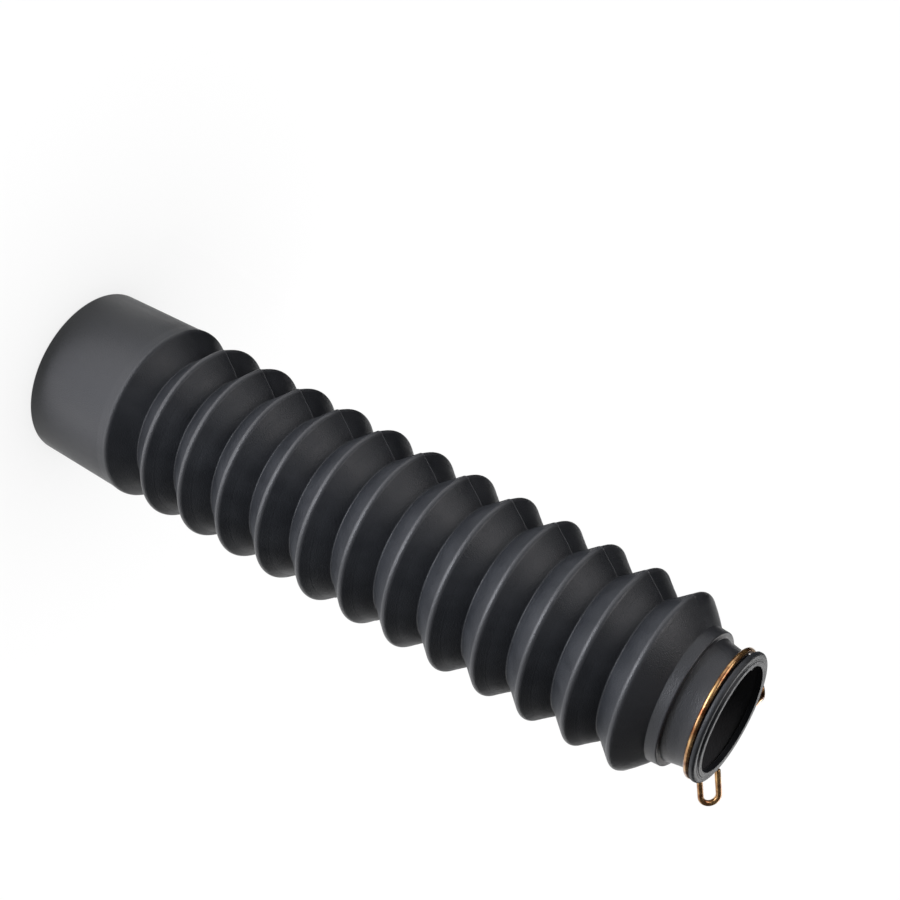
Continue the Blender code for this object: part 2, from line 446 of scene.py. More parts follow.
@dataclass(frozen=True)
class Bend:
    """The rounding of one corner of a line, in a plane or in space.

    Attributes:
        before: The line's point before the corner.
        corner: The sharp corner.
        after: The line's point after the corner.
        radius: Radius of the rounding.
    """

    before: Vector
    corner: Vector
    after: Vector
    radius: float

    @property
    def sides(self) -> tuple[Vector, Vector]:
        """The unit vectors from the corner back and on along the line."""
        back = (self.before - self.corner).normalized()
        return back, (self.after - self.corner).normalized()

    @property
    def half(self) -> float:
        """Half the angle between the corner's two sides."""
        back, on = self.sides
        return back.angle(on) / 2

    @property
    def sweep(self) -> float:
        """The angle that the line turns through."""
        return math.pi - 2 * self.half

    def points(self, steps: int) -> list[Vector]:
        """Return the rounding's points.

        Args:
            steps: Stretches that the arc is cut into.

        Returns:
            The arc's points, both ends included.
        """
        half = self.half
        back, on = self.sides
        bisector = (back + on).normalized()
        centre = self.corner + bisector * (self.radius / math.sin(half))
        arm = self.corner + back * (self.radius / math.tan(half)) - centre
        across = (-bisector * arm.length - arm * math.sin(half)).normalized() * arm.length
        turns = [self.sweep * step / steps for step in range(steps + 1)]
        return [centre + arm * math.cos(turn) + across * math.sin(turn) for turn in turns]


@dataclass(frozen=True)
class Seat:
    """What the boot's neck and the clip share: the wire and the seat that holds it, in mm.

    Attributes:
        wire_diameter: Of the clip's wire.
        ring_radius: From the axis to the middle of the wire.
        strand_gap: Between the wire's two strands where they overlap.
        clearance: Between the wire and the seat's floor and sides.
        bead_overhang: How far the bead stands out past the middle of the wire.
    """

    wire_diameter: float = 2.1
    ring_radius: float = 22.4
    strand_gap: float = 0.2
    clearance: float = 0.3
    bead_overhang: float = 1.1


@dataclass(frozen=True)
class Corner:
    """One corner of the boot's section, in mm, before it is rounded.

    Attributes:
        z: Level on the axis.
        radius: Distance from the axis.
        fillet: Radius of its rounding.
        bulge: How far the flank that leads to it swells outwards in its middle.
        rub_and_highlight: How far it is worn and painted lighter as a highlight, from 0 to 1.
        bore: 1 on the inside.
        seam: 1 where the mould's parting line stands proud.
        fade: How far it rises, or sinks if negative, where the mouth's crease has faded.
        tab: 1 on the lip's inner edge, where a scrap of flash is left.
    """

    z: float
    radius: float
    fillet: float = 0.0
    bulge: float = 0.0
    rub_and_highlight: float = 0.0
    bore: float = 0.0
    seam: float = 0.0
    fade: float = 0.0
    tab: float = 0.0

    @property
    def point(self) -> Vector:
        """The corner as a 2-D vector of level and radius."""
        return Vector((self.z, self.radius))

    @property
    def marks(self) -> tuple[float, float, float]:
        """The marks that a flank shares with the corners at its ends."""
        return (self.rub_and_highlight, self.bore, self.seam)


@dataclass(frozen=True)
class SectionPoint:
    """One point of the finished section, in mm, with the same marks as a corner."""

    z: float
    radius: float
    rub_and_highlight: float
    bore: float
    seam: float
    fade: float
    tab: float = 0.0


@dataclass
class Section:
    """The closed section of the boot: rounded corners with sampled flanks between them.

    Attributes:
        corners: The corners in order.
        arc_step: Degrees between two points of a rounding.
        small_arc_step: The same where the fillet is small.
        small_fillet: Largest fillet that counts as small, in mm.
        bore_arc_step: Degrees between two points of a rounding in the bore.
        flank_step: Greatest distance between two points of a flank, in mm.
        bore_flank_step: The same in the bore.
        flank_end: Distance from a flank's end to the row that keeps its shading flat, in mm.
    """

    corners: list[Corner]
    arc_step: float = 10.0
    small_arc_step: float = 20.0
    small_fillet: float = 1.0
    bore_arc_step: float = 30.0
    flank_step: float = 4.2
    bore_flank_step: float = 60.0
    flank_end: float = 0.18

    def rounded(self, index: int) -> list[Vector]:
        """Return the points of one corner's rounding.

        Args:
            index: The corner's place in the list.

        Returns:
            Its arc, or the corner itself where it has no fillet.
        """
        corner = self.corners[index]
        if corner.fillet <= 0.0:
            return [corner.point]
        before = self.corners[index - 1].point
        after = self.corners[(index + 1) % len(self.corners)].point
        bend = Bend(before, corner.point, after, corner.fillet)
        arc_step = self.arc_step if corner.fillet > self.small_fillet else self.small_arc_step
        if corner.bore > 0.0:
            arc_step = self.bore_arc_step
        return bend.points(max(2, math.ceil(math.degrees(bend.sweep) / arc_step)))

    def flank(self, start: Vector, end: Vector, bulge: float, bore: bool) -> list[Vector]:
        """Return the points strictly between two corners, swollen outwards.

        Args:
            start: The first corner's last point.
            end: The next corner's first point.
            bulge: How far the flank swells in its middle, in mm.
            bore: Whether the flank is inside, where fewer points do.

        Returns:
            The flank's points.
        """
        run = end - start
        flank_step = self.bore_flank_step if bore else self.flank_step
        count = max(1, math.ceil(run.length / flank_step))
        outward = Vector((-run.y, run.x)).normalized()
        if outward.y < 0:
            outward.negate()
        shares = [step / count for step in range(1, count)]
        end_share = self.flank_end / run.length
        half_step = 1 / (2 * count)
        if end_share < half_step:
            shares = [end_share] + shares + [1 - end_share]
        return [start + run * s + outward * (bulge * math.sin(math.pi * s)) for s in shares]

    def points(self) -> list[SectionPoint]:
        """Return the whole section in order, without its first point repeated.

        Returns:
            Each corner's rounding, and before it the flank that leads to it.
        """
        rounded = [self.rounded(index) for index in range(len(self.corners))]
        found = []
        for index, corner in enumerate(self.corners):
            last = self.corners[index - 1]
            shared = [min(pair) for pair in zip(last.marks, corner.marks)]
            start, end = rounded[index - 1][-1], rounded[index][0]
            inside = last.bore > 0.0 and corner.bore > 0.0
            for point in self.flank(start, end, corner.bulge, inside):
                share = (point - start).length / (end - start).length
                fade = last.fade + (corner.fade - last.fade) * share
                found.append(SectionPoint(point.x, point.y, *shared, fade))
            marks = (*corner.marks, corner.fade, corner.tab)
            found += [SectionPoint(p.x, p.y, *marks) for p in rounded[index]]
        return found


@dataclass
class Boot:
    """The rubber boot: cuff, shoulder, folds, collar, neck, wire seat, bead and mouth.

    Lengths are in mm and the parting line's angle is in degrees from the -Y side. The wear and
    painted highlight of shoulder and collar are shares of the crests' own. The columns at a
    parting line, and the space kept clear of other columns there, are in half widths of its ridge.
    """

    seat: Seat

    # Cuff and shoulder.
    cuff_rim_radius: float = 32.4
    cuff_top_radius: float = 33.3
    cuff_length: float = 38.7
    cuff_wall: float = 2.6
    cuff_edge_fillet: float = 0.45
    shoulder_radius: float = 33.8
    shoulder_fillet: float = 2.2
    # The shoulder is worn and also painted lighter as a highlight.
    shoulder_rub_and_highlight: float = 0.5

    # Folds.
    fold_count: int = 12
    fold_pitch: float = 18.0
    fold_drift: float = 1.0
    first_crest_from_shoulder: float = 17.8
    crest_radius: float = 33.6
    crest_radius_last: float = 32.8
    crest_fillet: float = 1.65
    crest_rounds: int = 12
    valley_radius: float = 25.9
    valley_fillet: float = 0.5
    inner_valley_fillet: float = 2.4
    flank_bulge: float = 0.2
    wall: float = 2.0
    tool_line_from_crest: float = 4.6
    tool_line_width: float = 0.6
    tool_line_height: float = 0.06

    # Collar and neck.
    last_flank_length: float = 8.4
    collar_radius: float = 24.6
    collar_taper: float = 0.25
    collar_length: float = 4.4
    collar_fillet: float = 0.6
    # The collar is worn and also painted lighter as a highlight.
    collar_rub_and_highlight: float = 0.7
    neck_radius: float = 22.2
    neck_wall: float = 0.95
    neck_length: float = 6.25
    neck_fillet: float = 18.0
    small_fillet: float = 0.25

    # Bead, crease and mouth.
    bead_width: float = 2.0
    bead_fillet: float = 0.5
    bead_top_fillet: float = 1.1
    crease_radius: float = 21.6
    crease_depth: float = 0.3
    crease_fillet: float = 0.2
    crease_outer_run: float = 0.5
    crease_outer_fillet: float = 0.3
    crease_fade_power: float = 1.5
    lip_from_crease: float = 0.7
    lip_rise: float = 0.8
    lip_sink: float = 0.5
    lip_fillet: float = 0.5
    mouth_radius: float = 19.2
    mouth_land: float = 2.5
    mouth_fillet: float = 0.08
    scrap_reach: float = 0.7
    scrap_half_width: float = 0.9

    # Parting line.
    parting_angle: float = -66.0
    parting_height: float = 0.18
    parting_half_width: float = 0.28
    parting_fall: float = 0.3
    parting_fall_length: float = 5.0
    parting_columns: tuple[float, ...] = (-2.0, -1.0, -0.5, 0.0, 0.5, 1.0, 2.0)
    parting_clear: float = 2.6

    columns: int = 146
    finish: MouldedRubber = field(default_factory=MouldedRubber)

    @property
    def groove_radius(self) -> float:
        """Radius of the wire's seat."""
        return self.seat.ring_radius - self.seat.wire_diameter / 2 - self.seat.clearance

    @property
    def neck_z(self) -> float:
        """Level of the step between collar and neck."""
        last_crest = self.cuff_length + self.first_crest_from_shoulder
        last_crest += (self.fold_count - 1) * self.fold_pitch
        return last_crest + self.last_flank_length + self.collar_length

    @property
    def groove_z(self) -> float:
        """Level where the wire's seat starts."""
        return self.neck_z + self.neck_length

    @property
    def bead_z(self) -> float:
        """Level of the bead's lower face."""
        strands = 2 * (self.seat.clearance + self.seat.wire_diameter) + self.seat.strand_gap
        return self.groove_z + strands

    @property
    def bead_top_z(self) -> float:
        """Level of the bead's upper edge."""
        return self.bead_z + self.bead_width

    @property
    def mouth_z(self) -> float:
        """Level of the mouth's lip, the boot's top."""
        return self.bead_top_z + self.lip_rise

    @property
    def collar_z(self) -> float:
        """Level where the collar starts."""
        return self.neck_z - self.collar_length

    def crest_level(self, fold: int) -> float:
        """Return the level of a fold's crest, which drifts a little along the soft wall."""
        drift = self.fold_drift * math.sin(2 * math.pi * fold / (self.fold_count - 1))
        return self.cuff_length + self.first_crest_from_shoulder + fold * self.fold_pitch - drift

    def sharp_crest(self, fold: int) -> float:
        """Return the radius where a crest's two flanks would meet without its fillet.

        It depends on the flanks' slope, which depends on it, so it settles over some rounds.

        Args:
            fold: The fold's number, from 0 at the cuff.

        Returns:
            The radius in mm.
        """
        share = fold / (self.fold_count - 1)
        radius = self.crest_radius + (self.crest_radius_last - self.crest_radius) * share
        overshoot = 0.0
        for _ in range(self.crest_rounds):
            depth = radius - self.valley_radius + overshoot
            half_angle = math.atan2(self.fold_pitch / 2, depth)
            overshoot = self.crest_fillet * (1 / math.sin(half_angle) - 1)
        return radius + overshoot

    def outside(self) -> list[Corner]:
        """Return the outside's corners.

        Returns:
            The corners from the rim up to the mouth.
        """
        corners = [
            Corner(0.0, self.cuff_rim_radius, self.cuff_edge_fillet),
            Corner(self.cuff_length - 2 * self.shoulder_fillet, self.cuff_top_radius),
            Corner(
                self.cuff_length, self.shoulder_radius, self.shoulder_fillet, rub_and_highlight=self.shoulder_rub_and_highlight
            ),
        ]
        below = self.cuff_length
        for fold in range(self.fold_count):
            level = self.crest_level(fold)
            valley = (below + level) / 2
            bulge = self.flank_bulge if fold else 0.0
            corners += [
                Corner(valley, self.valley_radius, self.valley_fillet, bulge, seam=1.0),
                # Crests are worn and also painted lighter as a highlight.
                Corner(level, self.sharp_crest(fold), self.crest_fillet, rub_and_highlight=1.0, seam=1.0),
            ]
            corners += self.tool_line(fold)
            below = level
        return corners + self.neck() + self.mouth()

    def tool_line(self, fold: int) -> list[Corner]:
        """Return the faint ring that the mould leaves on a flank, past the fold's crest.

        Args:
            fold: The fold's number, from 0 at the cuff.

        Returns:
            The ring's three corners, or none on the last fold.
        """
        if fold == self.fold_count - 1:
            return []
        level = self.crest_level(fold)
        above = (level + self.crest_level(fold + 1)) / 2
        crest = Vector((level, self.sharp_crest(fold)))
        along = (Vector((above, self.valley_radius)) - crest).normalized()
        outward = Vector((-along.y, along.x))
        ring = crest + along * self.tool_line_from_crest
        found = []
        for step, height in ((-1.0, 0.0), (0.0, self.tool_line_height), (1.0, 0.0)):
            place = ring + along * (step * self.tool_line_width / 2) + outward * height
            found.append(Corner(place.x, place.y, seam=1.0))
        return found

    def neck(self) -> list[Corner]:
        """Return the outside's corners from the collar to the end of the wire's seat.

        Returns:
            The corners from the collar upwards.
        """
        small = self.small_fillet
        collar_top = self.collar_radius - self.collar_taper
        # Collar and neck are worn and also painted lighter as a highlight.
        return [
            Corner(
                self.collar_z, self.collar_radius, small, self.flank_bulge, rub_and_highlight=self.collar_rub_and_highlight
            ),
            Corner(self.neck_z, collar_top, self.collar_fillet, rub_and_highlight=1.0),
            Corner(self.neck_z, self.neck_radius, small, rub_and_highlight=1.0),
            Corner(self.groove_z, self.groove_radius, self.neck_fillet, rub_and_highlight=1.0),
            Corner(self.bead_z, self.groove_radius, small),
        ]

    def mouth(self) -> list[Corner]:
        """Return the outside's corners of bead and lip, with the crease between them.

        Returns:
            The corners from the bead's lower edge to the mouth's edge.
        """
        bead_radius = self.seat.ring_radius + self.seat.bead_overhang
        crease_side = self.crease_radius + self.crease_outer_run
        crease_z = self.bead_top_z - self.crease_depth
        lip = self.crease_radius - self.lip_from_crease
        sink = -self.lip_sink
        return [
            Corner(self.bead_z, bead_radius, self.bead_fillet),
            Corner(self.bead_top_z, bead_radius, self.bead_top_fillet),
            Corner(self.bead_top_z, crease_side, self.crease_outer_fillet),
            Corner(crease_z, self.crease_radius, self.crease_fillet, fade=self.crease_depth),
            Corner(self.mouth_z, lip, self.lip_fillet, fade=sink),
            Corner(self.mouth_z, self.mouth_radius, self.mouth_fillet, fade=sink, tab=1.0),
        ]

    def inside(self) -> list[Corner]:
        """Return the bore's corners.

        Returns:
            The corners from the mouth back down to the rim.
        """
        slope = (self.sharp_crest(0) - self.valley_radius) / (self.fold_pitch / 2)
        radial_wall = self.wall * math.hypot(1.0, slope)
        neck_bore = self.groove_radius - self.neck_wall
        collar_bore = self.collar_radius - self.collar_taper - self.wall
        land_z = self.mouth_z - self.mouth_land
        small = self.small_fillet
        corners = [
            Corner(land_z, self.mouth_radius, small, bore=1.0),
            Corner(land_z, neck_bore, small, bore=1.0),
            Corner(self.neck_z - self.wall, neck_bore, small, bore=1.0),
            Corner(self.collar_z - self.wall / 2, collar_bore, small, bore=1.0),
        ]
        inner_valley = self.valley_radius - radial_wall
        for fold in reversed(range(self.fold_count)):
            level = self.crest_level(fold)
            below = self.crest_level(fold - 1) if fold else self.cuff_length
            valley = (level + below) / 2
            inner_crest = self.sharp_crest(fold) - radial_wall
            corners += [
                Corner(level, inner_crest, self.valley_fillet, bore=1.0),
                Corner(valley, inner_valley, self.inner_valley_fillet, bore=1.0),
            ]
        cuff_bore = self.cuff_top_radius - self.cuff_wall
        rim_bore = self.cuff_rim_radius - self.cuff_wall
        corners += [
            Corner(self.cuff_length - self.wall, cuff_bore, small, bore=1.0),
            Corner(0.0, rim_bore, self.cuff_edge_fillet),
        ]
        return corners

    def parting_line(self, half: int) -> float:
        """Return the angle from +X of one of the two parting lines."""
        near_side = -math.pi / 2
        return near_side + math.radians(self.parting_angle) + half * math.pi

    def turns_from_parting(self, angle: float) -> list[float]:
        """Return the turn from each of the two parting lines.

        Args:
            angle: An angle from +X.

        Returns:
            The two turns, each from minus half a turn to half a turn.
        """
        whole = 2 * math.pi
        lines = [self.parting_line(half) for half in (0, 1)]
        return [(angle - line + math.pi) % whole - math.pi for line in lines]

    def angles(self) -> list[float]:
        """Return the columns' angles, which lie closer together at the two parting lines.

        Returns:
            The angles from +X, in order.
        """
        even = [2 * math.pi * index / self.columns for index in range(self.columns)]
        width = self.parting_half_width / self.crest_radius
        lines = [
            (self.parting_line(half) + step * width) % (2 * math.pi)
            for half in (0, 1)
            for step in self.parting_columns
        ]
        clear = self.parting_clear * width
        kept = [a for a in even if min(abs(t) for t in self.turns_from_parting(a)) > clear]
        return sorted(kept + lines)

    def swell(self, angle: float, radius: float) -> float:
        """Return how far the outside stands out or in at an angle.

        The mould's two halves leave a thin flash ridge where they meet, and the skin falls
        away slightly beyond it.

        Args:
            angle: The column's angle from +X.
            radius: The section's radius there, in mm.

        Returns:
            The offset in mm.
        """
        offset = 0.0
        for turn in self.turns_from_parting(angle):
            along = turn * radius
            share = abs(along) / self.parting_half_width
            offset += self.parting_height * max(0.0, 1.0 - share)
            if along < 0.0:
                reach = -along / self.parting_fall_length
                offset -= self.parting_fall * reach * math.exp(1.0 - reach)
        return offset

    def flash_scrap(self, angle: float) -> float:
        """Return how far the scrap of flash reaches into the mouth at an angle."""
        along = abs(self.turns_from_parting(angle)[0]) * self.mouth_radius
        return self.scrap_reach * max(0.0, 1.0 - along / self.scrap_half_width)

    def crease_fade(self, angle: float) -> float:
        """Return how far the mouth's crease has faded at an angle, from 0 to 1."""
        near = max(0.0, -math.sin(angle))
        return 1.0 - near**self.crease_fade_power

    def build(self) -> bpy.types.Object:
        """Make the boot's mesh, dress it and let it stand for its CAD node.

        Returns:
            The boot.
        """
        section = Section(self.outside() + self.inside()).points()
        angles = self.angles()
        rows = len(section)
        verts = []
        for angle in angles:
            fade = self.crease_fade(angle)
            for point in section:
                radius = point.radius
                if point.seam > 0.0:
                    radius += self.swell(angle, point.radius) * point.seam
                if point.tab > 0.0:
                    radius -= self.flash_scrap(angle)
                level = point.z + point.fade * fade
                verts.append(in_metres((radius * math.cos(angle), radius * math.sin(angle), level)))
        faces = []
        for column in range(len(angles)):
            here = column * rows
            there = (column + 1) % len(angles) * rows
            for row in range(rows):
                after = (row + 1) % rows
                faces.append((here + row, there + row, there + after, here + after))
        skin = mesh_object("gaiter_skin", verts, faces, self.finish.build())
        marked = {
            # Where the skin is worn and painted lighter as a highlight.
            Mark.RUB_AND_HIGHLIGHT: [point.rub_and_highlight for point in section],
            # The bore's mark also paints light into the bore.
            Mark.BORE: [point.bore for point in section],
        }
        for mark, values in marked.items():
            layer = skin.data.attributes.new(mark.value, "FLOAT", "POINT")
            layer.data.foreach_set("value", values * len(angles))
        skin.data.shade_smooth()
        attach(skin, BODY)
        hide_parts("gaiter_bellows")
        return skin


@dataclass(frozen=True)
class WireCorner:
    """A corner of a wire's centre line, in mm, and the radius of its bend."""

    point: Vector
    bend: float


@dataclass(frozen=True)
class FingerLoop:
    """Place and pose of one of the clip's two finger loops.

    Attributes:
        angle: Its place round the neck in degrees, from +Y towards -X.
        length: From the ring to the middle of its bend, in mm.
        rise: Its level above its strand, in mm.
        lean: How far it leans up from straight out, in degrees.
        twist: How far its two legs are turned about its own length, in degrees.
    """

    angle: float
    length: float
    rise: float
    lean: float
    twist: float


@dataclass
class WireClip:
    """The spring-wire clip: one turn with its ends overlapping, each bent out to a loop.

    Attributes:
        seat: The wire and the seat that holds it.
        level_by: Share of the turn by which the wire has climbed to its upper strand.
        bend_radius: Radius of a finger loop, in mm.
        bend_share: Share of that radius at each of the two corners that make the loop's bend.
        foot_run: From a ring's end to the knee where the wire turns out, in mm.
        knee_lift: How far the knee stands out past the ring, in mm.
        knee_bend: Radius of the knee's bend, in mm.
        leg_start: From the ring to the start of a loop's straight leg, in mm.
        leg_bend: Radius of the bend there, in mm.
        tip_clearance: From the bead to the wire's end, in mm.
        lower: The loop on the lower strand.
        upper: The loop on the upper strand.
        ring_step: Degrees between two points of the ring.
        bend_steps: Stretches that each bend is cut into.
        sides: Points round the wire.
        end_edge: Height of the rounded edge of the wire's ends, as a share of its radius.
        finish: The wire's finish.
    """

    seat: Seat
    level_by: float = 0.7
    bend_radius: float = 3.15
    bend_share: float = 0.999
    foot_run: float = 4.0
    knee_lift: float = 0.8
    knee_bend: float = 1.6
    leg_start: float = 4.3
    leg_bend: float = 2.0
    tip_clearance: float = 0.8
    lower: FingerLoop = FingerLoop(-51.7, 12.2, 2.0, 16.4, 43.6)
    upper: FingerLoop = FingerLoop(19.7, 11.4, -0.2, -4.5, 142.5)
    ring_step: float = 2.0
    bend_steps: int = 14
    sides: int = 24
    end_edge: float = 0.25
    finish: PassivatedWire = field(default_factory=PassivatedWire)

    def radial(self, angle: float) -> Vector:
        """Return the outward unit vector at an angle from +Y, turning towards -X."""
        return Vector((-math.sin(angle), math.cos(angle), 0.0))

    def along(self, angle: float) -> Vector:
        """Return the unit vector along the ring, towards growing angle."""
        return Vector((-math.cos(angle), -math.sin(angle), 0.0))

    def ring(self, start: float, end: float, low: float) -> list[Vector]:
        """Return the centre line round the neck, one turn and the overlap behind.

        The first strand stays low as far as the last one overlaps it, then the wire climbs.

        Args:
            start: The first angle.
            end: The last angle, more than a turn later.
            low: Level of the first strand.

        Returns:
            The points in mm.
        """
        whole = end - start
        overlap = whole - 2 * math.pi + self.foot_run / self.seat.ring_radius
        count = round(math.degrees(whole) / self.ring_step)
        rise = self.seat.wire_diameter + self.seat.strand_gap
        found = []
        for index in range(count + 1):
            turned = whole * index / count
            point = self.radial(start + turned) * self.seat.ring_radius
            climb = (turned - overlap) / (self.level_by * whole - overlap)
            point.z = low + rise * math.sin(math.pi / 2 * min(1.0, max(0.0, climb)))
            found.append(point)
        return found

    def finger(self, loop: FingerLoop, turns: int, foot: Vector, heading: int) -> list[WireCorner]:
        """Return the corners of one finger loop, from the ring's end to the wire's tip.

        Args:
            loop: The loop's place and pose.
            turns: Whole turns of the wire before it.
            foot: The ring's last point.
            heading: 1 where the wire arrives with growing angle, -1 where it falls.

        Returns:
            The corners in mm, each with the radius of its bend.
        """
        angle = math.radians(loop.angle) + 2 * math.pi * turns
        lean = math.radians(loop.lean)
        twist = math.radians(loop.twist)
        outward = self.radial(angle)
        up = Vector((0.0, 0.0, 1.0))
        reach = outward * math.cos(lean) + up * math.sin(lean)
        rise = up * math.cos(lean) - outward * math.sin(lean)
        leg = self.along(angle) * math.cos(twist) + rise * math.sin(twist)
        leg *= self.bend_radius
        base = outward * self.seat.ring_radius
        base.z = foot.z + loop.rise
        top = base + reach * (loop.length + self.bend_radius)
        tip = self.seat.bead_overhang + self.seat.wire_diameter / 2 + self.tip_clearance
        knee = foot + self.along(angle) * (heading * self.foot_run) + outward * self.knee_lift
        bend = self.bend_share * self.bend_radius
        return [
            WireCorner(foot, 0.0),
            WireCorner(knee, self.knee_bend),
            WireCorner(base - leg + reach * self.leg_start, self.leg_bend),
            WireCorner(top - leg, bend),
            WireCorner(top + leg, bend),
            WireCorner(base + leg + reach * tip, 0.0),
        ]

    def bent(self, corners: list[WireCorner]) -> list[Vector]:
        """Bend the wire at each of its corners.

        Args:
            corners: The corners in order, of which the first and the last have no bend.

        Returns:
            The centre line's points, in mm.
        """
        path = [corners[0].point]
        for before, corner, after in zip(corners, corners[1:], corners[2:]):
            bend = Bend(before.point, corner.point, after.point, corner.bend)
            path += bend.points(self.bend_steps)
        return path + [corners[-1].point]

    def swept(self, path: list[Vector]) -> list[list[Vector]]:
        """Sweep the round wire along a centre line and round off both of its cut ends.

        Args:
            path: The centre line, in mm.

        Returns:
            The rings of points round the wire, in mm.
        """
        tangents = []
        for index in range(len(path)):
            before = path[max(0, index - 1)]
            after = path[min(len(path) - 1, index + 1)]
            tangents.append((after - before).normalized())
        radius = self.seat.wire_diameter / 2
        side = tangents[0].orthogonal().normalized()
        stations = []
        for index, (point, tangent) in enumerate(zip(path, tangents)):
            if index:
                side.rotate(tangents[index - 1].rotation_difference(tangent))
            side = (side - tangent * side.dot(tangent)).normalized()
            stations.append((point, tangent, side.copy(), radius))
        edge = self.end_edge * radius
        first = (path[0] - tangents[0] * edge, tangents[0], stations[0][2], radius - edge)
        last = (path[-1] + tangents[-1] * edge, tangents[-1], stations[-1][2], radius - edge)
        turns = [2 * math.pi * index / self.sides for index in range(self.sides)]
        rings = []
        for point, tangent, side, width in [first] + stations + [last]:
            cross = tangent.cross(side)
            spokes = [side * math.cos(turn) + cross * math.sin(turn) for turn in turns]
            rings.append([point + spoke * width for spoke in spokes])
        return rings

    def build(self, low_strand: float) -> bpy.types.Object:
        """Make the clip's mesh, dress it and let it stand for its CAD node.

        Args:
            low_strand: Level of the wire's lower strand in its seat, in mm.

        Returns:
            The clip.
        """
        turn = self.foot_run / self.seat.ring_radius
        start = math.radians(self.lower.angle) + turn
        end = math.radians(self.upper.angle) + 2 * math.pi - turn
        ring = self.ring(start, end, low_strand)
        lower = self.bent(self.finger(self.lower, 0, ring[0], -1))
        upper = self.bent(self.finger(self.upper, 1, ring[-1], 1))
        rings = self.swept(lower[:0:-1] + ring + upper[1:])
        verts = [in_metres(place) for places in rings for place in places]
        sides = self.sides
        faces = []
        for row in range(0, len(verts) - sides, sides):
            for index in range(sides):
                here = row + index
                beside = row + (index + 1) % sides
                faces.append((here, beside, beside + sides, here + sides))
        faces.append(tuple(reversed(range(sides))))
        faces.append(tuple(range(len(verts) - sides, len(verts))))
        clip = mesh_object("clip_wire", verts, faces, self.finish.build())
        clip.data.shade_smooth()
        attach(clip, BODY)
        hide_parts("wire_clip")
        return clip


@dataclass(frozen=True)
class SoftBox:
    """One soft lamp of the studio.

    Attributes:
        name: Name of the lamp.
        place: Where it hangs, in metres.
        target: The point that it faces.
        size: Its width and height in metres.
        power: Its power in watts.
        colour: The sRGB hex colour of its light.
        turn: How far it is turned about its own aim, in degrees.
    """

    name: str
    place: tuple[float, float, float]
    target: tuple[float, float, float]
    size: tuple[float, float]
    power: float
    colour: str
    turn: float = 0.0

    def build(self, pieces: bpy.types.Collection) -> bpy.types.Object:
        """Hang the lamp out of the camera's sight.

        Args:
            pieces: The pieces, which are all that it lights.

        Returns:
            The lamp.
        """
        light = bpy.data.lights.new(self.name, "AREA")
        light.shape = "RECTANGLE"
        light.size, light.size_y = self.size
        light.energy = self.power
        light.color = linear(self.colour)[:3]
        obj = bpy.data.objects.new(self.name, light)
        obj.location = self.place
        aim = Vector(self.target) - Vector(self.place)
        faced = aim.to_track_quat("-Z", "Y").to_matrix()
        faced @= Matrix.Rotation(math.radians(self.turn), 3, "Z")
        obj.rotation_euler = faced.to_euler()
        obj.visible_camera = False
        obj.light_linking.receiver_collection = pieces
        bpy.context.scene.collection.objects.link(obj)
        return obj


@dataclass(frozen=True)
class FloorStrip:
    """A soft lamp lying just above the floor and facing up, like light that the floor returns.

    Attributes:
        name: Name of the lamp.
        place: Its place on the floor, in metres.
        size: Its width and length in metres.
        power: Its power in watts.
        colour: The sRGB hex colour of its light.
        level: Its height above the floor, in metres.
        turn: How far it is turned on the floor, in degrees.
    """

    name: str
    place: tuple[float, float]
    size: tuple[float, float]
    power: float
    colour: str
    level: float = 0.003
    turn: float = -11.0

    def build(self, pieces: bpy.types.Collection) -> bpy.types.Object:
        """Lay the strip out of the camera's sight.

        Args:
            pieces: The pieces, which are all that it lights.

        Returns:
            The lamp.
        """
        place, above = (*self.place, self.level), (*self.place, 1.0)
        box = SoftBox(self.name, place, above, self.size, self.power, self.colour, self.turn)
        return box.build(pieces)


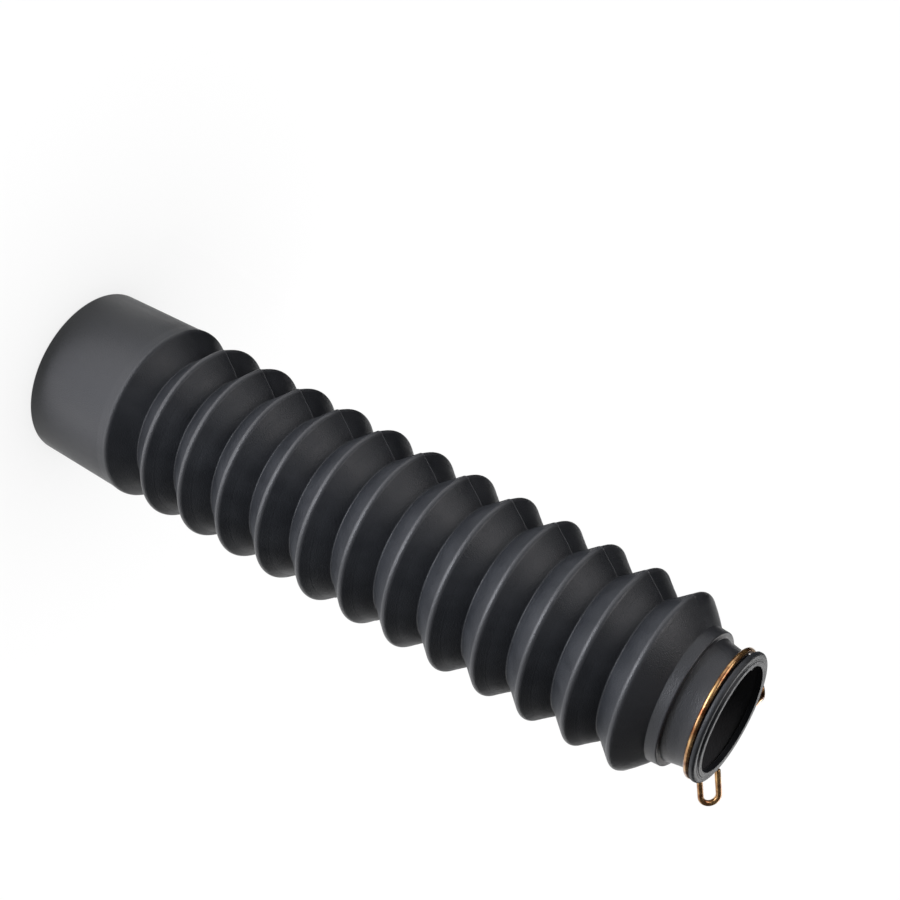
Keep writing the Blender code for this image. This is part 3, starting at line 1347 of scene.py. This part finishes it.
@dataclass
class Studio:
    """A pale floor, soft lamps and the camera at the photograph's viewing angle.

    Attributes:
        floor_reach: Side of the square floor, in metres.
        floor_colour: Colour of its paint.
        floor_light: Strength of the wash of light on the floor.
        floor_light_spread: Angle that the wash comes from, in degrees.
        shadow_share: How far the floor shows its own light and shade to the camera.
        camera_place: Place of the camera, in metres.
        camera_pitch: Its tilt up from straight down, in degrees.
        camera_roll: Its roll about its own view, in degrees.
        camera_lens: Its focal length, in mm.
        sensor: Width of its sensor, in mm.
        ceiling: Brightness of the room overhead.
        wall: Brightness of its walls at the horizon, as glossy surfaces see them.
        wall_top: Height where the walls end, as the upward part of a view's direction.
        flag_colour: Colour of the black flag.
        flag_place: Middle of the flag's foot, in metres.
        flag_size: Its width and height, in metres.
        flag_lift: Its foot's height above the floor, in metres.
        lamps: The lamps that light only the pieces.
    """

    floor_reach: float = 40.0
    floor_colour: str = "#f4f4f4"
    floor_light: float = 3.35
    floor_light_spread: float = 50.0
    shadow_share: float = 0.28
    camera_place: tuple[float, float, float] = (-0.0358, -0.6159, 0.4319)
    camera_pitch: float = 65.30
    camera_roll: float = 117.07
    camera_lens: float = 77.59
    sensor: float = 36.0
    ceiling: float = 0.1
    wall: float = 0.3
    wall_top: float = 0.08
    flag_colour: str = "#101010"
    flag_place: tuple[float, float] = (-0.062, 0.05)
    flag_size: tuple[float, float] = (0.1, 0.33)
    flag_lift: float = 0.001
    lamps: tuple[SoftBox | FloorStrip, ...] = (
        FloorStrip("near_strip", (0.0, -0.095), (0.2, 0.115), 0.11, "#f6f5fb"),
        FloorStrip("mid_strip", (0.03, -0.315), (0.34, 0.33), 1.45, "#f3f6ff"),
        FloorStrip("neck_strip", (0.01, -0.43), (0.1, 0.14), 1.7, "#f3f6ff"),
        SoftBox("side_box", (-0.7, -0.2, 0.86), (0, 0, 0.16), (0.6, 0.6), 3.5, "#fcf9fa"),
        SoftBox("back_box", (0.05, 0.95, 0.95), (0, 0, 0.28), (0.9, 0.7), 6.8, "#ffffff"),
    )

    def floor(self) -> bpy.types.Object:
        """Lay the floor, which the camera sees white apart from the object's shadow.

        Returns:
            The floor.
        """
        mat, tree = new_material("painted_floor")
        paint = add_node(
            tree, "ShaderNodeBsdfDiffuse", inputs={"Color": linear(self.floor_colour)}
        ).outputs["BSDF"]
        white = add_node(tree, "ShaderNodeEmission", inputs={"Strength": 1.0}).outputs[0]
        seen = add_node(
            tree,
            "ShaderNodeMath",
            {"operation": "MULTIPLY"},
            {0: self.seen_directly(tree), 1: 1.0 - self.shadow_share},
        ).outputs[0]
        mixed = add_node(
            tree, "ShaderNodeMixShader", inputs={0: seen, 1: paint, 2: white}
        ).outputs[0]
        add_node(tree, "ShaderNodeOutputMaterial", inputs={"Surface": mixed})
        half = self.floor_reach / 2
        corners = [(-half, -half, 0), (half, -half, 0), (half, half, 0), (-half, half, 0)]
        obj = mesh_object("studio_floor", corners, [(0, 1, 2, 3)], mat)
        return obj

    def flag(self) -> bpy.types.Object:
        """Stand a black flag close to the boot's -X side, out of the camera's sight.

        Returns:
            The flag.
        """
        mat, tree = new_material("black_velvet")
        velvet = add_node(
            tree, "ShaderNodeBsdfDiffuse", inputs={"Color": linear(self.flag_colour)}
        ).outputs["BSDF"]
        add_node(tree, "ShaderNodeOutputMaterial", inputs={"Surface": velvet})
        x, y = self.flag_place
        width, height = self.flag_size
        low, high, foot = y - width / 2, y + width / 2, self.flag_lift
        corners = [(x, low, foot), (x, high, foot), (x, high, height), (x, low, height)]
        obj = mesh_object("black_flag", corners, [(0, 1, 2, 3)], mat)
        obj.visible_camera = False
        return obj

    def seen_directly(self, tree: bpy.types.NodeTree) -> bpy.types.NodeSocket:
        """Tell the rays that show a surface from those that gather its light.

        Args:
            tree: The node tree that asks.

        Returns:
            A socket that is 1 for camera, glossy and transmission rays and 0 for others.
        """
        rays = add_node(tree, "ShaderNodeLightPath").outputs
        seen = rays["Is Camera Ray"]
        for kind in ("Is Glossy Ray", "Is Transmission Ray"):
            seen = add_node(
                tree, "ShaderNodeMath", {"operation": "MAXIMUM"}, {0: seen, 1: rays[kind]}
            ).outputs[0]
        return seen

    def world(self) -> None:
        """Give the room a dim light, brighter walls in its gloss, and white to the camera."""
        world = bpy.data.worlds.new("studio")
        bpy.context.scene.world = world
        world.use_nodes = True
        tree = world.node_tree
        tree.nodes.clear()
        direction = add_node(tree, "ShaderNodeTexCoord").outputs["Generated"]
        height = add_node(
            tree, "ShaderNodeSeparateXYZ", inputs={"Vector": direction}
        ).outputs["Z"]
        wall = add_node(
            tree,
            "ShaderNodeMapRange",
            inputs={
                "Value": height,
                "From Min": 0.0,
                "From Max": self.wall_top,
                "To Min": self.wall,
                "To Max": self.ceiling,
            },
        ).outputs["Result"]
        room, walls = [
            add_node(tree, "ShaderNodeBackground", inputs={"Strength": strength}).outputs[0]
            for strength in (self.ceiling, wall)
        ]
        white = add_node(
            tree, "ShaderNodeBackground", inputs={"Color": linear("#ffffff"), "Strength": 1.0}
        ).outputs[0]
        lit = add_node(
            tree, "ShaderNodeMixShader", inputs={0: self.seen_directly(tree), 1: room, 2: walls}
        ).outputs[0]
        rays = add_node(tree, "ShaderNodeLightPath").outputs
        mixed = add_node(
            tree, "ShaderNodeMixShader", inputs={0: rays["Is Camera Ray"], 1: lit, 2: white}
        ).outputs[0]
        add_node(tree, "ShaderNodeOutputWorld", inputs={"Surface": mixed})

    def light_floor(self, floor: bpy.types.Object, pieces: bpy.types.Collection) -> None:
        """Light the floor evenly from above, so that it shines back up at the object.

        Args:
            floor: The only object that this lamp lights.
            pieces: The gaiter's pieces, which shadow it.
        """
        light = bpy.data.lights.new("floor_wash", "SUN")
        light.energy = self.floor_light
        light.angle = math.radians(self.floor_light_spread)
        obj = bpy.data.objects.new("floor_wash", light)
        bpy.context.scene.collection.objects.link(obj)
        receivers = bpy.data.collections.new("lit_by_floor_wash")
        receivers.objects.link(floor)
        obj.light_linking.receiver_collection = receivers
        obj.light_linking.blocker_collection = pieces

    def camera(self) -> None:
        """Set the camera where the photograph was taken from."""
        data = bpy.data.cameras.new("camera")
        data.lens = self.camera_lens
        data.sensor_width = self.sensor
        obj = bpy.data.objects.new("camera", data)
        pitch = Matrix.Rotation(math.radians(self.camera_pitch), 4, "X")
        roll = Matrix.Rotation(math.radians(self.camera_roll), 4, "Z")
        obj.matrix_world = Matrix.Translation(self.camera_place) @ pitch @ roll
        bpy.context.scene.collection.objects.link(obj)
        bpy.context.scene.camera = obj

    def build(self, pieces: list[bpy.types.Object]) -> list[bpy.types.Object]:
        """Set up the whole studio round the gaiter's pieces.

        Args:
            pieces: The boot and the clip.

        Returns:
            The floor, the flag and the lamps that light only the pieces.
        """
        bpy.context.scene.view_settings.view_transform = "Standard"
        gaiter = bpy.data.collections.new("gaiter")
        for piece in pieces:
            gaiter.objects.link(piece)
        floor = self.floor()
        self.light_floor(floor, gaiter)
        flag = self.flag()
        self.world()
        lamps = [lamp.build(gaiter) for lamp in self.lamps]
        self.camera()
        return [floor, flag] + lamps


def main() -> None:
    """Build the gaiter's pieces in order, then the studio round them, and report each."""
    logging.basicConfig(level=logging.INFO, format="%(name)s: %(message)s")
    seat = Seat()
    boot = Boot(seat)
    low_strand = boot.groove_z + seat.clearance + seat.wire_diameter / 2
    pieces = [boot.build(), WireClip(seat).build(low_strand)]
    for piece in pieces:
        mesh = piece.data
        log.info("%s: %d points, %d faces", piece.name, len(mesh.vertices), len(mesh.polygons))
    for prop in Studio().build(pieces):
        log.info("%s: in the studio only", prop.name)


if __name__ == "__main__":
    main()
